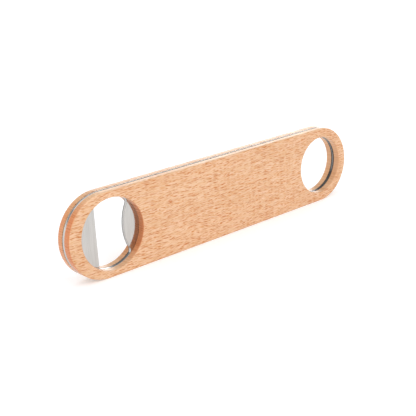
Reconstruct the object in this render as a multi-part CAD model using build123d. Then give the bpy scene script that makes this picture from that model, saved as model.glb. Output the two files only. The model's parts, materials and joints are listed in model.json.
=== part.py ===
from build123d import *
import os

# A bar-blade bottle opener: a full-length stainless blade between two beech scales, held by
# two films of glue. It stands on one long edge: +X runs along its length towards the hanging
# hole, its front face looks towards -Y, and +Z is up. The origin is under its middle.

# Driving dimensions, in millimetres

# Outline shared by the blade and both scales
length = 182.0
width = 40.0

# Layers, front to rear: scale, glue, blade, glue, scale
scale_thickness = 3.4
glue_thickness = 0.1
blade_thickness = 1.8

# The glue lines stand back this far from the outline and from both holes
glue_setback = 0.25

# The cap hole, at the -X end
cap_hole_radius = 16.8
cap_hole_from_end = 23.6

# The blade inside the cap hole: a straight hook edge and a rounded lifting tongue
hook_edge_from_end = 16.7
tongue_reach = 8.35
tongue_radius = 23.8
tongue_root_radius = 2.5

# The hanging hole, at the +X end
hang_hole_radius = 15.2
hang_hole_from_end = 20.4

# Softened edges: the outer edge of each scale, the rims of its holes, and the blade's burr
scale_edge_radius = 0.7
scale_rim_radius = 0.5
blade_chamfer = 0.12

# Places that follow from the dimensions above
mid_height = width / 2
cap_hole_x = -length / 2 + cap_hole_from_end
hang_hole_x = length / 2 - hang_hole_from_end
hook_edge_x = -length / 2 + hook_edge_from_end
blade_rear = blade_thickness / 2
glue_rear = blade_rear + glue_thickness
opener_rear = glue_rear + scale_thickness


def layer(profile, rear, thickness):
    """A flat profile drawn in X and Z, as a plate from y = rear forwards by its thickness."""
    drawing = Plane(origin=(0, rear, mid_height), x_dir=(1, 0, 0), z_dir=(0, -1, 0))
    return extrude(drawing * profile, amount=thickness)


def outline(setback):
    """The long round-ended outline, drawn this far inside the edge."""
    return SlotOverall(length - 2 * setback, width - 2 * setback)


def cap_hole(growth):
    """The round cap hole as both scales have it."""
    return Pos(cap_hole_x, 0) * Circle(cap_hole_radius + growth)


def hang_hole(growth):
    """The round hanging hole, which goes through every layer."""
    return Pos(hang_hole_x, 0) * Circle(hang_hole_radius + growth)


def cap_mouth():
    """The opening in the blade: the cap hole without the hook edge's segment and the tongue."""
    opening = cap_hole(0)
    reach = 2 * cap_hole_radius
    opening &= Pos(hook_edge_x + reach, 0) * Rectangle(2 * reach, 2 * reach)
    tongue_x = cap_hole_x + tongue_reach + tongue_radius
    opening -= Pos(tongue_x, 0) * Circle(tongue_radius)
    roots = opening.vertices().filter_by(lambda corner: corner.X > cap_hole_x)
    return fillet(roots, tongue_root_radius)


def steel_blade():
    """Sheet steel the size of the whole outline, with its burr taken off all round."""
    profile = outline(0) - cap_mouth() - hang_hole(0)
    blade = layer(profile, blade_rear, blade_thickness)
    sides = blade.edges().group_by(Axis.Y)
    return chamfer(sides[0] + sides[-1], blade_chamfer)


def glue_film(rear):
    """The film of glue on one side of the blade, clear of both round holes."""
    profile = outline(glue_setback) - cap_hole(glue_setback) - hang_hole(glue_setback)
    return layer(profile, rear, glue_thickness)


def beech_scale(rear, shown):
    """One beech scale. Its shown face, first or last along Y, has softened edges and rims."""
    profile = outline(0) - cap_hole(0) - hang_hole(0)
    scale = layer(profile, rear, scale_thickness)
    edge = scale.faces().sort_by(Axis.Y)[shown].outer_wire().edges()
    scale = fillet(edge, scale_edge_radius)
    rims = [wire.edges() for wire in scale.faces().sort_by(Axis.Y)[shown].inner_wires()]
    for rim in rims:
        scale = fillet(rim, scale_rim_radius)
    return scale


nodes = {
    "front_scale": beech_scale(-glue_rear, 0),
    "front_glue_film": glue_film(-blade_rear),
    "steel_blade": steel_blade(),
    "rear_glue_film": glue_film(glue_rear),
    "rear_scale": beech_scale(opener_rear, -1),
}

os.makedirs("parts", exist_ok=True)
for name, solid in nodes.items():
    export_step(solid, f"parts/{name}.step")
    size = solid.bounding_box().size
    print(f"{name}: {solid.volume:.0f} mm3, {size.X:.1f} x {size.Y:.1f} x {size.Z:.1f} mm")
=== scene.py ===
import json
import math

import bmesh
import bpy
from mathutils import Matrix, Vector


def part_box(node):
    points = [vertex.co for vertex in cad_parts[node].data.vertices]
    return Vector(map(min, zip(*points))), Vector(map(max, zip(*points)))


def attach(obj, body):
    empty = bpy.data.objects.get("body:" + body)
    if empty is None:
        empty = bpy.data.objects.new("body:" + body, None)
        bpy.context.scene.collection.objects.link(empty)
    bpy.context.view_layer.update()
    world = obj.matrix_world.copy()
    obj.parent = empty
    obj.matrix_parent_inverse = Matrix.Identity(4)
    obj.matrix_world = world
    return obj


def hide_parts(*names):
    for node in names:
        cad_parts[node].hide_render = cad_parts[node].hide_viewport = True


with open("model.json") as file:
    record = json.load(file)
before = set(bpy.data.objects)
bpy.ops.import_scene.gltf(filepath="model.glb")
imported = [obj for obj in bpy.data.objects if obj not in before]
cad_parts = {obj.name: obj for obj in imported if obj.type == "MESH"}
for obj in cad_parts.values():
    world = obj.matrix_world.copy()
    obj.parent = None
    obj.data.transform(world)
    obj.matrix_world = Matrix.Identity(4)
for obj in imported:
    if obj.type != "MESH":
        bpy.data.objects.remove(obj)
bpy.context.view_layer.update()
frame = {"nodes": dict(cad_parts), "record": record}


# The blade: one strip of 1.8 mm stainless sheet, as long and as wide as the opener, blanked with
# a mouth for the crown cap and a round hole to hang it by. Its faces are brushed across the strip,
# tumbling has given its outer edge a slight crown, and a scale is glued to each of its faces.

mounts = {mount["name"]: mount for mount in frame["record"]["mounts"]}
cap_hole_x = mounts["front_cap_well"]["pos_m"][0]
cap_hole_radius = mounts["front_cap_well"]["dims"]["r_mm"] / 1000
hang_hole_x = mounts["hanging_hole"]["pos_m"][0]
hang_hole_radius = mounts["hanging_hole"]["dims"]["r_mm"] / 1000
blade_low, blade_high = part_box("steel_blade")
mid_height = (blade_low.z + blade_high.z) / 2
end_radius = mid_height - blade_low.z
end_x = blade_high.x - end_radius

hook_edge_from_end = 0.0167
hook_edge_x = blade_low.x + hook_edge_from_end
tongue_reach = 0.00835
tongue_radius = 0.0238
tongue_root_radius = 0.0025
blade_crown = 0.0002
crown_steps = 4
burr_radius = 0.0001
burr_steps = 3
end_facets = 96
hang_hole_facets = 160
tongue_facets = 32
root_facets = 16
mouth_facets = 40


def arc(centre_x, centre_z, radius, start, end, count):
    """Points along an arc in X and Z, in this many steps, with both of its ends."""
    turns = [start + (end - start) * i / count for i in range(count + 1)]
    return [(centre_x + radius * math.cos(t), centre_z + radius * math.sin(t)) for t in turns]


def blade_outline(setback):
    """The strip's long outline with its round ends, this far inside the edge."""
    right = arc(end_x, 0, end_radius - setback, -math.pi / 2, math.pi / 2, end_facets)
    left = arc(-end_x, 0, end_radius - setback, math.pi / 2, math.pi * 3 / 2, end_facets)
    return right + left


def hang_hole(growth):
    """The hanging hole's circle, this much larger."""
    return arc(hang_hole_x, 0, hang_hole_radius + growth, 0, math.tau, hang_hole_facets)[:-1]


def cap_mouth(growth):
    """The opening for the cap, this much larger: a circle cut by the hook edge and the tongue."""
    hole = cap_hole_radius + growth
    tongue_x = tongue_reach + tongue_radius
    # Each root fillet touches the circle from inside and the tongue from outside.
    to_root = cap_hole_radius - tongue_root_radius
    tongue_to_root = tongue_radius + tongue_root_radius
    root_x = (tongue_x**2 + to_root**2 - tongue_to_root**2) / (2 * tongue_x)
    root_z = math.sqrt(to_root**2 - root_x**2)
    tongue_turn = math.atan2(root_z, tongue_x - root_x)
    root_turn = math.atan2(root_z, root_x)
    hook_turn = math.acos((hook_edge_x - growth - cap_hole_x) / hole)
    upper = arc(tongue_x, 0, tongue_radius - growth, math.pi, math.pi - tongue_turn, tongue_facets)
    root_radius = tongue_root_radius + growth
    upper += arc(root_x, root_z, root_radius, -tongue_turn, root_turn, root_facets)[1:]
    upper += arc(0, 0, hole, root_turn, hook_turn, mouth_facets)[1:]
    lower = [(x, -z) for x, z in reversed(upper)]
    return [(cap_hole_x + x, z) for x, z in upper + lower[:-1]]


def edge_rows(outline, crown):
    """An outline at each depth through the blade, with its burr rounded off and its edge crowned."""
    rows = []
    for i in range(burr_steps + 1):
        turn = i * math.pi / (2 * burr_steps)
        depth = blade_low.y + burr_radius * (1 - math.cos(turn))
        rows.append((depth, burr_radius * (1 - math.sin(turn)) + crown))
    flat = blade_high.y - burr_radius
    for i in range(1 - crown_steps, crown_steps):
        rows.append((flat * i / crown_steps, crown * (i / crown_steps) ** 2))
    rows += [(-depth, cut) for depth, cut in rows[burr_steps::-1]]
    return [(depth, outline(cut)) for depth, cut in rows]


def blanked_plate(name, walls):
    """A closed plate: each wall is one outline at several depths, and two flat faces join them.

    The flat faces take the first material slot, and each wall takes the next slot in turn.
    """
    plate = bmesh.new()
    front_rim, rear_rim = [], []

    def rim_edges(loop):
        return [plate.edges.get((loop[i - 1], loop[i])) for i in range(len(loop))]

    for number, rows in enumerate(walls):
        loops = [[plate.verts.new((x, y, mid_height + z)) for x, z in row] for y, row in rows]
        for near, far in zip(loops, loops[1:]):
            for i in range(len(near)):
                wall = plate.faces.new((near[i - 1], near[i], far[i], far[i - 1]))
                wall.smooth = True
                wall.material_index = number + 1
        front_rim += rim_edges(loops[0])
        rear_rim += rim_edges(loops[-1])
    for rim in (front_rim, rear_rim):
        bmesh.ops.triangle_fill(plate, use_beauty=True, edges=rim)
    bmesh.ops.recalc_face_normals(plate, faces=plate.faces)
    mesh = bpy.data.meshes.new(name)
    plate.to_mesh(mesh)
    plate.free()
    piece = bpy.data.objects.new(name, mesh)
    bpy.context.scene.collection.objects.link(piece)
    return piece


def add(tree, kind, inputs=None, **settings):
    """A node with its properties set, and each input linked to an output or given a value."""
    node = tree.nodes.new(kind)
    for name, value in settings.items():
        setattr(node, name, value)
    for name, value in (inputs or {}).items():
        if isinstance(value, bpy.types.NodeSocket):
            tree.links.new(value, node.inputs[name])
        else:
            node.inputs[name].default_value = value
    return node


def finish_of(name, **values):
    """A new material, its node tree, and its shader with these values set on its own sockets."""
    material = bpy.data.materials.new(name)
    material.use_nodes = True
    shader = material.node_tree.nodes["Principled BSDF"]
    for socket, value in values.items():
        shader.inputs[socket.replace("_", " ").title().replace("Ior", "IOR")].default_value = value
    return material, material.node_tree, shader


def grain(tree, sizes, detail=2.0, roughness=0.5, shift=(0, 0, 0), where=None):
    """Noise whose patches have these sizes in metres along X, Y and Z."""
    where = where or add(tree, "ShaderNodeTexCoord").outputs["Object"]
    scale = [1 / size for size in sizes]
    place = add(tree, "ShaderNodeMapping", {"Vector": where, "Scale": scale, "Location": shift})
    values = {"Vector": place.outputs[0], "Scale": 1.0, "Detail": detail, "Roughness": roughness}
    return add(tree, "ShaderNodeTexNoise", values).outputs[0]


def stretch(tree, value, low, high, to_low, to_high):
    """A value's range mapped to another range, and held inside it."""
    values = {"Value": value, "From Min": low, "From Max": high, "To Min": to_low, "To Max": to_high}
    return add(tree, "ShaderNodeMapRange", values).outputs["Result"]


def product(tree, first, second):
    """Two values multiplied."""
    return add(tree, "ShaderNodeMath", {0: first, 1: second}, operation="MULTIPLY").outputs[0]


def blend_colour(tree, amount, first, second, kind="MIX"):
    """Two colours mixed by an amount from 0 to 1."""
    node = add(tree, "ShaderNodeMix", data_type="RGBA", blend_type=kind)
    # A Mix node's sockets 0, 6 and 7 are its factor and its two colours.
    for index, value in ((0, amount), (6, first), (7, second)):
        if isinstance(value, bpy.types.NodeSocket):
            tree.links.new(value, node.inputs[index])
        else:
            node.inputs[index].default_value = value
    return node.outputs[2]


def relief(tree, shader, height, depth, strength=1.0):
    """Bump on the shader, this deep in metres."""
    node = add(tree, "ShaderNodeBump", {"Height": height, "Distance": depth, "Strength": strength})
    tree.links.new(node.outputs["Normal"], shader.inputs["Normal"])


def brushed_stainless():
    """Sheet brushed across the strip: long fine strokes in Z, with a soft sheen."""
    material, tree, shader = finish_of("brushed_stainless", metallic=1.0, anisotropic=0.4)
    strokes = grain(tree, (0.00035, 0.00035, 0.02), detail=3.0, roughness=0.7)
    clouds = grain(tree, (0.006, 0.006, 0.03))
    tone = stretch(tree, strokes, 0.3, 0.7, 0.0, 1.0)
    colour = blend_colour(tree, tone, (0.49, 0.47, 0.445, 1), (0.59, 0.57, 0.545, 1))
    tree.links.new(colour, shader.inputs["Base Color"])
    tree.links.new(stretch(tree, clouds, 0.3, 0.7, 0.06, 0.11), shader.inputs["Roughness"])
    relief(tree, shader, strokes, 0.000003, 0.4)
    return material


def tumbled_edge():
    """The strip's outer edge, tumbled until its brush marks are gone."""
    material, tree, shader = finish_of("tumbled_edge", metallic=1.0)
    wear = grain(tree, (0.008, 0.002, 0.008), detail=2.0)
    colour = blend_colour(tree, wear, (0.5, 0.48, 0.455, 1), (0.58, 0.56, 0.535, 1))
    tree.links.new(colour, shader.inputs["Base Color"])
    tree.links.new(stretch(tree, wear, 0.3, 0.7, 0.14, 0.2), shader.inputs["Roughness"])
    relief(tree, shader, wear, 0.00001, 0.3)
    return material


def sheared_edge(name, torn_and_shaded, burnished, band_front, band_rear):
    """The wall of a punched opening: burnished between two depths in Y, rough and dull elsewhere, and
    coloured near black there, which is painted shade as much as dull steel.
    """
    band_fade = 0.00005
    band_waver = 0.0001
    burnish_factor = 0.4
    material, tree, shader = finish_of(name, metallic=1.0)
    tears = grain(tree, (0.0002, 0.0006, 0.0002), detail=4.0, roughness=0.7)
    drift = stretch(tree, grain(tree, (0.003, 0.01, 0.003)), 0.3, 0.7, -band_waver, band_waver)
    at = add(tree, "ShaderNodeTexCoord").outputs["Object"]
    depth = add(tree, "ShaderNodeSeparateXYZ", {0: at}).outputs["Y"]
    depth = add(tree, "ShaderNodeMath", {0: depth, 1: drift}, operation="ADD").outputs[0]
    past_front = stretch(tree, depth, band_front - band_fade, band_front + band_fade, 0.0, 1.0)
    before_rear = stretch(tree, depth, band_rear - band_fade, band_rear + band_fade, 1.0, 0.0)
    band = product(tree, past_front, before_rear)
    # The colour outside the burnished band is near black: painted shade on top of dull steel.
    tree.links.new(blend_colour(tree, band, torn_and_shaded, burnished), shader.inputs["Base Color"])
    dull = stretch(tree, tears, 0.3, 0.7, 0.3, 0.5)
    smooth = product(tree, dull, burnish_factor)
    values = {"Factor": band, 2: dull, 3: smooth}
    tree.links.new(add(tree, "ShaderNodeMix", values).outputs[0], shader.inputs["Roughness"])
    relief(tree, shader, tears, 0.00002, 0.5)
    return material


blade_walls = [edge_rows(blade_outline, blade_crown)]
blade_walls += [edge_rows(opening, 0.0) for opening in (cap_mouth, hang_hole)]
blade = blanked_plate("blade_strip", blade_walls)
# Each wall's colour outside its burnished band is painted shade as well as dull steel.
mouth_wall = sheared_edge(
    "mouth_wall",
    torn_and_shaded=(0.13, 0.125, 0.12, 1),
    burnished=(0.47, 0.455, 0.44, 1),
    band_front=-0.001,
    band_rear=0.0004,
)
# The hanging hole's wall is a darker copy of the mouth's: the extra darkness is a painted reflection of
# the shaded floor behind the blade.
hang_hole_wall = sheared_edge(
    "hang_hole_wall",
    torn_and_shaded=(0.08, 0.078, 0.075, 1),
    burnished=(0.4, 0.39, 0.38, 1),
    band_front=-0.00015,
    band_rear=0.0001,
)
for finish in (brushed_stainless(), tumbled_edge(), mouth_wall, hang_hole_wall):
    blade.data.materials.append(finish)
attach(blade, "root")
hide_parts("steel_blade")


# The glue: a thin film of contact adhesive on each side of the blade. It dries amber and slightly
# glossy, and it stops just short of every edge, so that none of it squeezes out.

def dried_adhesive():
    """Amber adhesive with small pools and ripples."""
    material, tree, shader = finish_of("dried_adhesive", specular_ior_level=0.5)
    pools = grain(tree, (0.003, 0.003, 0.003), detail=3.0)
    colour = blend_colour(tree, pools, (0.16, 0.08, 0.03, 1), (0.3, 0.17, 0.07, 1))
    tree.links.new(colour, shader.inputs["Base Color"])
    tree.links.new(stretch(tree, pools, 0.3, 0.7, 0.3, 0.55), shader.inputs["Roughness"])
    relief(tree, shader, pools, 0.00002)
    return material


adhesive = dried_adhesive()
for side in ("front", "rear"):
    film = frame["nodes"][side + "_glue_film"]
    film.data.materials.clear()
    film.data.materials.append(adhesive)


# The scales: two thin plates of oiled beech, cut along the grain, one glued to each side of the
# blade. Their shown edges are sanded round, and so are the rims of both holes; the cap hole is
# wider than the blade's mouth, so that the hook edge and the tongue stand free in it.

scale_edge_radius = 0.0007
scale_rim_radius = 0.0005
round_points = 258
wall_points = 13
bend_points = 7
weld_distance = 1e-6
sharp_corner_turn = math.radians(40)


def softened_scale_tree():
    """The node tree that makes one scale from its sizes: walls, rounded edges and two flat faces."""
    tree = bpy.data.node_groups.new("softened_scale", "GeometryNodeTree")
    tree.interface.new_socket("Geometry", in_out="OUTPUT", socket_type="NodeSocketGeometry")
    sizes = ("Length", "Width", "Thickness", "Glue Face", "Edge Radius", "Rim Radius", "Cap Hole X",
             "Cap Hole Radius", "Hanging Hole X", "Hanging Hole Radius", "Middle Height", "Lean")
    for size in sizes:
        tree.interface.new_socket(size, in_out="INPUT", socket_type="NodeSocketFloat")
    tree.interface.new_socket("Timber", in_out="INPUT", socket_type="NodeSocketMaterial")
    given = tree.nodes.new("NodeGroupInput").outputs

    def work(operation, *values):
        node = add(tree, "ShaderNodeMath", dict(enumerate(values)), operation=operation)
        return node.outputs[0]

    def point(x=0.0, y=0.0, z=0.0):
        return add(tree, "ShaderNodeCombineXYZ", {0: x, 1: y, 2: z}).outputs[0]

    def circle(radius):
        values = {"Resolution": round_points, "Radius": radius}
        ring = add(tree, "GeometryNodeCurvePrimitiveCircle", values).outputs["Curve"]
        return add(tree, "GeometryNodeSetCurveNormal", {"Curve": ring}, mode="Z_UP").outputs[0]

    def moved(geometry, offset):
        values = {"Geometry": geometry, "Offset": offset}
        return add(tree, "GeometryNodeSetPosition", values).outputs[0]

    def offset_sideways(curve, amount):
        normal = add(tree, "GeometryNodeInputNormal").outputs[0]
        scaled = add(tree, "ShaderNodeVectorMath", {0: normal, "Scale": amount}, operation="SCALE")
        return moved(curve, scaled.outputs[0])

    def wall(curve, radius, side):
        """The straight wall and its rounded edge, swept round a curve; side is the way it rounds."""
        straight = work("SUBTRACT", given["Thickness"], radius)
        bend_start = work("MULTIPLY", straight, -1.0)
        upright = add(tree, "GeometryNodeCurvePrimitiveLine", {"End": point(y=bend_start)})
        values = {"Curve": upright.outputs[0], "Count": wall_points}
        upright = add(tree, "GeometryNodeResampleCurve", values)
        quarter_turn = {"Start Angle": 0.0, "Sweep Angle": -math.pi / 2}
        values = {"Resolution": bend_points, "Radius": radius, **quarter_turn}
        bend = add(tree, "GeometryNodeCurveArc", values)
        bend_centre = point(x=work("MULTIPLY", radius, side), y=bend_start)
        mirror = point(x=-side, y=1.0, z=1.0)
        values = {"Geometry": bend.outputs[0], "Translation": bend_centre, "Scale": mirror}
        bend = add(tree, "GeometryNodeTransform", values)
        profile = add(tree, "GeometryNodeJoinGeometry")
        tree.links.new(upright.outputs[0], profile.inputs[0])
        tree.links.new(bend.outputs[0], profile.inputs[0])
        values = {"Curve": curve, "Profile Curve": profile.outputs[0]}
        swept = add(tree, "GeometryNodeCurveToMesh", values)
        values = {"Geometry": swept.outputs[0], "Shade Smooth": True}
        return add(tree, "GeometryNodeSetShadeSmooth", values).outputs[0]

    def flat_face(curves):
        loops = add(tree, "GeometryNodeJoinGeometry")
        for curve in curves:
            tree.links.new(curve, loops.inputs[0])
        filled = add(tree, "GeometryNodeFillCurve", {"Curve": loops.outputs[0]})
        values = {"Geometry": filled.outputs[0], "Shade Smooth": False}
        return add(tree, "GeometryNodeSetShadeSmooth", values).outputs[0]

    # The outline is a circle pulled apart along X into two half circles.
    half_straight = work("DIVIDE", work("SUBTRACT", given["Length"], given["Width"]), 2.0)
    at = add(tree, "ShaderNodeSeparateXYZ", {0: add(tree, "GeometryNodeInputPosition").outputs[0]})
    pull = point(x=work("MULTIPLY", work("SIGN", at.outputs["X"]), half_straight))
    outline = moved(circle(work("DIVIDE", given["Width"], 2.0)), pull)
    cap_hole = moved(circle(given["Cap Hole Radius"]), point(x=given["Cap Hole X"]))
    hanging_hole = moved(circle(given["Hanging Hole Radius"]), point(x=given["Hanging Hole X"]))

    rims = [(outline, given["Edge Radius"], -1.0), (cap_hole, given["Rim Radius"], 1.0)]
    rims.append((hanging_hole, given["Rim Radius"], 1.0))
    shown_loops = []
    for curve, radius, side in rims:
        shown_loops.append(offset_sideways(curve, work("MULTIPLY", radius, side)))
    shown_face = moved(flat_face(shown_loops), point(z=given["Thickness"]))
    parts = [wall(curve, radius, side) for curve, radius, side in rims]
    parts += [shown_face, flat_face([outline, cap_hole, hanging_hole])]

    shell = add(tree, "GeometryNodeJoinGeometry")
    for part in parts:
        tree.links.new(part, shell.inputs[0])
    values = {"Geometry": shell.outputs[0], "Distance": weld_distance}
    shell = add(tree, "GeometryNodeMergeByDistance", values)
    shell = moved(shell.outputs[0], point(z=given["Glue Face"]))
    values = {"Geometry": shell, "Rotation": point(x=given["Lean"])}
    values["Translation"] = point(z=given["Middle Height"])
    stood = add(tree, "GeometryNodeTransform", values)
    real = add(tree, "GeometryNodeRealizeInstances", {"Geometry": stood.outputs[0]})
    values = {"Geometry": real.outputs[0], "Material": given["Timber"]}
    dressed = add(tree, "GeometryNodeSetMaterial", values)
    tree.links.new(dressed.outputs[0], tree.nodes.new("NodeGroupOutput").inputs[0])
    return tree


def fleck_layer(tree, place, cell, fleck, shift):
    """Short lens-shaped flecks along the grain, one to a cell, each with its own strength."""
    scale = [1 / size for size in cell]
    spot = add(tree, "ShaderNodeMapping", {"Vector": place, "Scale": scale, "Location": shift})
    values = {"Vector": spot.outputs[0], "Scale": 1.0, "Randomness": 1.0}
    cells = add(tree, "ShaderNodeTexVoronoi", values, feature="F1")
    values = {0: spot.outputs[0], 1: cells.outputs["Position"]}
    away = add(tree, "ShaderNodeVectorMath", values, operation="SUBTRACT")
    reach = [2 * whole / part for whole, part in zip(cell, fleck)]
    values = {0: away.outputs[0], 1: reach}
    away = add(tree, "ShaderNodeVectorMath", values, operation="MULTIPLY")
    away = add(tree, "ShaderNodeVectorMath", {0: away.outputs[0]}, operation="LENGTH")
    distance = away.outputs["Value"]
    chance = add(tree, "ShaderNodeSeparateColor", {0: cells.outputs["Color"]}).outputs[0]
    strength = stretch(tree, chance, 0.2, 0.9, 0.0, 1.0)
    body = stretch(tree, distance, 0.4, 1.1, 1.0, 0.0)
    return product(tree, body, strength)


def oiled_beech(name, shift, end_grain_and_shade_tint):
    """Flat-cut beech: soft bands along the grain, many short dark ray flecks, and end grain darkened
    partly by its own colour and partly by painted shade.
    """
    fleck_cell = (0.0042, 0.03, 0.001)
    fleck_size = (0.005, 0.1, 0.0004)
    speck_cell = (0.0023, 0.03, 0.001)
    speck_size = (0.0023, 0.1, 0.0004)
    speck_shift = (shift[1], 0, shift[0])
    material, tree, shader = finish_of(name, ior=1.5)
    where = add(tree, "ShaderNodeTexCoord")

    # The marks sway a little up and down, as the grain does.
    sway = grain(tree, (0.014, 0.05, 0.007), detail=1.0, shift=shift)
    sway = stretch(tree, sway, 0.2, 0.8, -0.0008, 0.0008)
    sway = add(tree, "ShaderNodeCombineXYZ", {2: sway}).outputs[0]
    values = {0: where.outputs["Object"], 1: sway}
    place = add(tree, "ShaderNodeVectorMath", values, operation="ADD").outputs[0]

    bands = grain(tree, (0.05, 0.02, 0.009), detail=2.0, shift=shift)
    rings = grain(tree, (0.05, 0.0006, 0.01), detail=2.0, shift=shift)
    strokes = grain(tree, (0.0028, 0.03, 0.00048), 0.8, 0.4, shift, place)
    threads = grain(tree, (0.012, 0.03, 0.0004), 1.0, 0.5, shift, place)
    pores = grain(tree, (0.0012, 0.0002, 0.00012), detail=2.0, shift=shift)
    flecks = fleck_layer(tree, place, fleck_cell, fleck_size, shift)
    specks = fleck_layer(tree, place, speck_cell, speck_size, speck_shift)

    # The marks are strongest on the flat faces, and faint on the edges and in the holes.
    facing = add(tree, "ShaderNodeSeparateXYZ", {0: where.outputs["Normal"]}).outputs
    on_face = product(tree, facing["Y"], facing["Y"])
    shown = stretch(tree, on_face, 0.0, 1.0, 0.25, 1.0)

    def marked(colour, mark, low, high, amount, tint):
        """The colour, tinted by up to this amount as the mark goes from low to high."""
        seen = product(tree, stretch(tree, mark, low, high, 0.0, amount), shown)
        return blend_colour(tree, seen, colour, tint)

    tone = stretch(tree, bands, 0.3, 0.7, 0.0, 1.0)
    colour = blend_colour(tree, tone, (0.68, 0.407, 0.222, 1), (0.735, 0.46, 0.264, 1))
    colour = blend_colour(tree, stretch(tree, rings, 0.5, 0.75, 0.0, 0.15), colour, (0.6, 0.26, 0.11, 1))
    colour = marked(colour, threads, 0.5, 0.3, 0.5, (0.81, 0.53, 0.37, 1))
    colour = marked(colour, strokes, 0.48, 0.3, 0.5, (0.82, 0.54, 0.38, 1))
    colour = marked(colour, threads, 0.55, 0.72, 0.3, (0.6, 0.25, 0.07, 1))
    colour = marked(colour, strokes, 0.56, 0.7, 0.4, (0.6, 0.22, 0.05, 1))
    colour = marked(colour, specks, 0.0, 0.9, 1.0, (0.52, 0.16, 0.012, 1))
    colour = marked(colour, flecks, 0.0, 0.9, 1.0, (0.46, 0.12, 0.004, 1))

    # Where the wood faces along X it is darker: partly the end grain's own colour, partly painted shade.
    # The darkening is strongest at the cap end and round the cap hole and falls to a fifth at the
    # hanging hole; this fall, and the front scale's darker tint, are the painted shade.
    faces_along = product(tree, facing["X"], facing["X"])
    end_grain_and_shade_mask = stretch(tree, faces_along, 0.05, 0.7, 0.0, 1.0)
    along = add(tree, "ShaderNodeSeparateXYZ", {0: where.outputs["Object"]}).outputs["X"]
    painted_shade_run_out = stretch(tree, along, cap_hole_x, hang_hole_x, 1.0, 0.2)
    ends = product(tree, end_grain_and_shade_mask, painted_shade_run_out)
    colour = blend_colour(tree, ends, colour, end_grain_and_shade_tint, "MULTIPLY")
    tree.links.new(colour, shader.inputs["Base Color"])

    tree.links.new(stretch(tree, threads, 0.3, 0.7, 0.23, 0.33), shader.inputs["Roughness"])
    height = add(tree, "ShaderNodeMath", {0: pores, 1: flecks}, operation="SUBTRACT")
    relief(tree, shader, height.outputs[0], 0.00002, 0.3)
    return material


def beech_plate(name, tree, sizes, timber):
    """One scale as a plain closed mesh, made by the node tree with these sizes."""
    piece = bpy.data.objects.new(name, bpy.data.meshes.new(name))
    bpy.context.scene.collection.objects.link(piece)
    maker = piece.modifiers.new("softened_scale", "NODES")
    maker.node_group = tree
    for socket in tree.interface.items_tree:
        if socket.in_out == "INPUT":
            maker[socket.identifier] = timber if socket.name == "Timber" else sizes[socket.name]
    made = piece.evaluated_get(bpy.context.evaluated_depsgraph_get())
    mesh = bpy.data.meshes.new_from_object(made)
    piece.modifiers.clear()
    piece.data = mesh
    shell = bmesh.new()
    shell.from_mesh(mesh)
    bmesh.ops.recalc_face_normals(shell, faces=shell.faces)
    # The timber is the only material, and corners such as the glue face's rim are shaded crisp.
    for face in shell.faces:
        face.material_index = 0
    for edge in shell.edges:
        edge.smooth = edge.calc_face_angle(0.0) < sharp_corner_turn
    shell.to_mesh(mesh)
    shell.free()
    mesh.materials.clear()
    mesh.materials.append(timber)
    return piece


scale_tree = softened_scale_tree()
# The last value of each board is the tint of its faces along X: end grain with painted shade, darker on
# the front.
boards = (
    ("front", 1, (3.1, 0.4, 7.7), (0.86, 0.46, 0.25, 1)),
    ("rear", -1, (11.3, 5.2, 2.9), (0.9, 0.6, 0.42, 1)),
)
for side, lean, shift, end_grain_and_shade_tint in boards:
    low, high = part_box(side + "_scale")
    sizes = {
        "Length": high.x - low.x,
        "Width": high.z - low.z,
        "Thickness": high.y - low.y,
        "Glue Face": min(abs(low.y), abs(high.y)),
        "Edge Radius": scale_edge_radius,
        "Rim Radius": scale_rim_radius,
        "Cap Hole X": cap_hole_x,
        "Cap Hole Radius": cap_hole_radius,
        "Hanging Hole X": hang_hole_x,
        "Hanging Hole Radius": hang_hole_radius,
        "Middle Height": mid_height,
        "Lean": lean * math.pi / 2,
    }
    timber = oiled_beech(side + "_oiled_beech", shift, end_grain_and_shade_tint)
    scale = beech_plate(side + "_beech", scale_tree, sizes, timber)
    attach(scale, "root")
    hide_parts(side + "_scale")


# The floor: one wide sheet of white acrylic, faintly lit from below, as on a product table. The
# opener stands on one long edge in the middle of it, and isn't fixed to it.

floor_side = 1.6

floor_mesh = bpy.data.meshes.new("white_sheet")
half = floor_side / 2
corners = [(-half, -half, 0), (half, -half, 0), (half, half, 0), (-half, half, 0)]
floor_mesh.from_pydata(corners, [], [(0, 1, 2, 3)])
floor = bpy.data.objects.new("white_sheet", floor_mesh)
bpy.context.scene.collection.objects.link(floor)
sheet, sheet_tree, sheet_shader = finish_of(
    "lit_acrylic",
    base_color=(0.83, 0.85, 0.87, 1),
    roughness=0.6,
    specular_ior_level=0.1,
    emission_color=(1, 1, 1, 1),
    emission_strength=0.26,
)
floor_mesh.materials.append(sheet)


# The light: a broad softbox in front, one at the left and one overhead, and a long low one behind
# that shows in the top edges. The room round them is white, bright low down and dim above.

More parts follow.
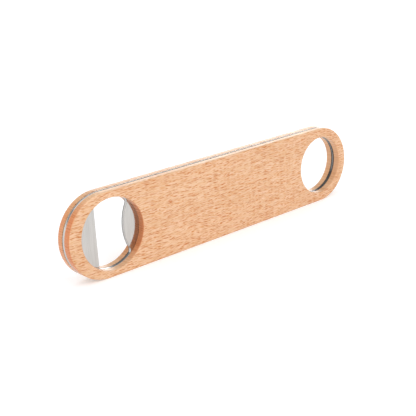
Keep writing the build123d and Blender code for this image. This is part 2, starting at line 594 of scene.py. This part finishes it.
def softbox(name, azimuth, elevation, distance, width, height, radiance):
    """A rectangular light that faces the origin from this azimuth and elevation, in degrees."""
    lamp = bpy.data.lights.new(name, "AREA")
    lamp.shape = "RECTANGLE"
    lamp.size = width
    lamp.size_y = height
    lamp.energy = radiance * math.pi * width * height
    swing = Matrix.Rotation(math.radians(azimuth), 4, "Z")
    tilt = Matrix.Rotation(math.radians(90 - elevation), 4, "X")
    box = bpy.data.objects.new(name, lamp)
    box.matrix_world = swing @ tilt @ Matrix.Translation((0, 0, distance))
    box.visible_camera = False
    bpy.context.scene.collection.objects.link(box)


softbox("front_softbox", azimuth=10, elevation=40, distance=1.6, width=1.4, height=1.2, radiance=1.65)
softbox("left_softbox", azimuth=-80, elevation=42, distance=1.6, width=1.2, height=1.0, radiance=1.4)
softbox("rear_backdrop", azimuth=144, elevation=9, distance=2.0, width=2.8, height=0.62, radiance=1.8)
softbox("overhead_softbox", azimuth=180, elevation=86, distance=1.2, width=1.5, height=1.5, radiance=1.0)

# The room dims between two heights, each the sine of an angle above the floor.
bright_below = 0.3
dim_above = 0.44
bright_glow = 1.25
dim_glow = 0.3

room = bpy.data.worlds.new("pale_room")
room.use_nodes = True
room_tree = room.node_tree
direction = add(room_tree, "ShaderNodeTexCoord").outputs["Generated"]
height = add(room_tree, "ShaderNodeSeparateXYZ", {0: direction}).outputs["Z"]
glow = stretch(room_tree, height, bright_below, dim_above, bright_glow, dim_glow)
room_tree.links.new(glow, room_tree.nodes["Background"].inputs["Strength"])
room_tree.nodes["Background"].inputs["Color"].default_value = (1, 1, 1, 1)
bpy.context.scene.world = room
bpy.context.scene.view_settings.view_transform = "Standard"


# The camera: a short telephoto lens, to the left of the opener's front and a little above it. It
# looks at a point near the opener's middle, and it is rolled by a few degrees.

camera_aim = (-0.00751, 0, 0.01534)
camera_azimuth = -41.024
camera_elevation = 18.551
camera_roll = -3.242
camera_distance = 0.43392

lens = bpy.data.cameras.new("camera")
lens.lens = 76.68
lens.sensor_width = 36.0
lens.clip_end = 20.0
camera = bpy.data.objects.new("camera", lens)
swing = Matrix.Rotation(math.radians(camera_azimuth), 4, "Z")
tilt = Matrix.Rotation(math.radians(90 - camera_elevation), 4, "X")
roll = Matrix.Rotation(math.radians(camera_roll), 4, "Z")
stand = Matrix.Translation((0, 0, camera_distance))
camera.matrix_world = Matrix.Translation(camera_aim) @ swing @ tilt @ stand @ roll
bpy.context.scene.collection.objects.link(camera)
bpy.context.scene.camera = camera
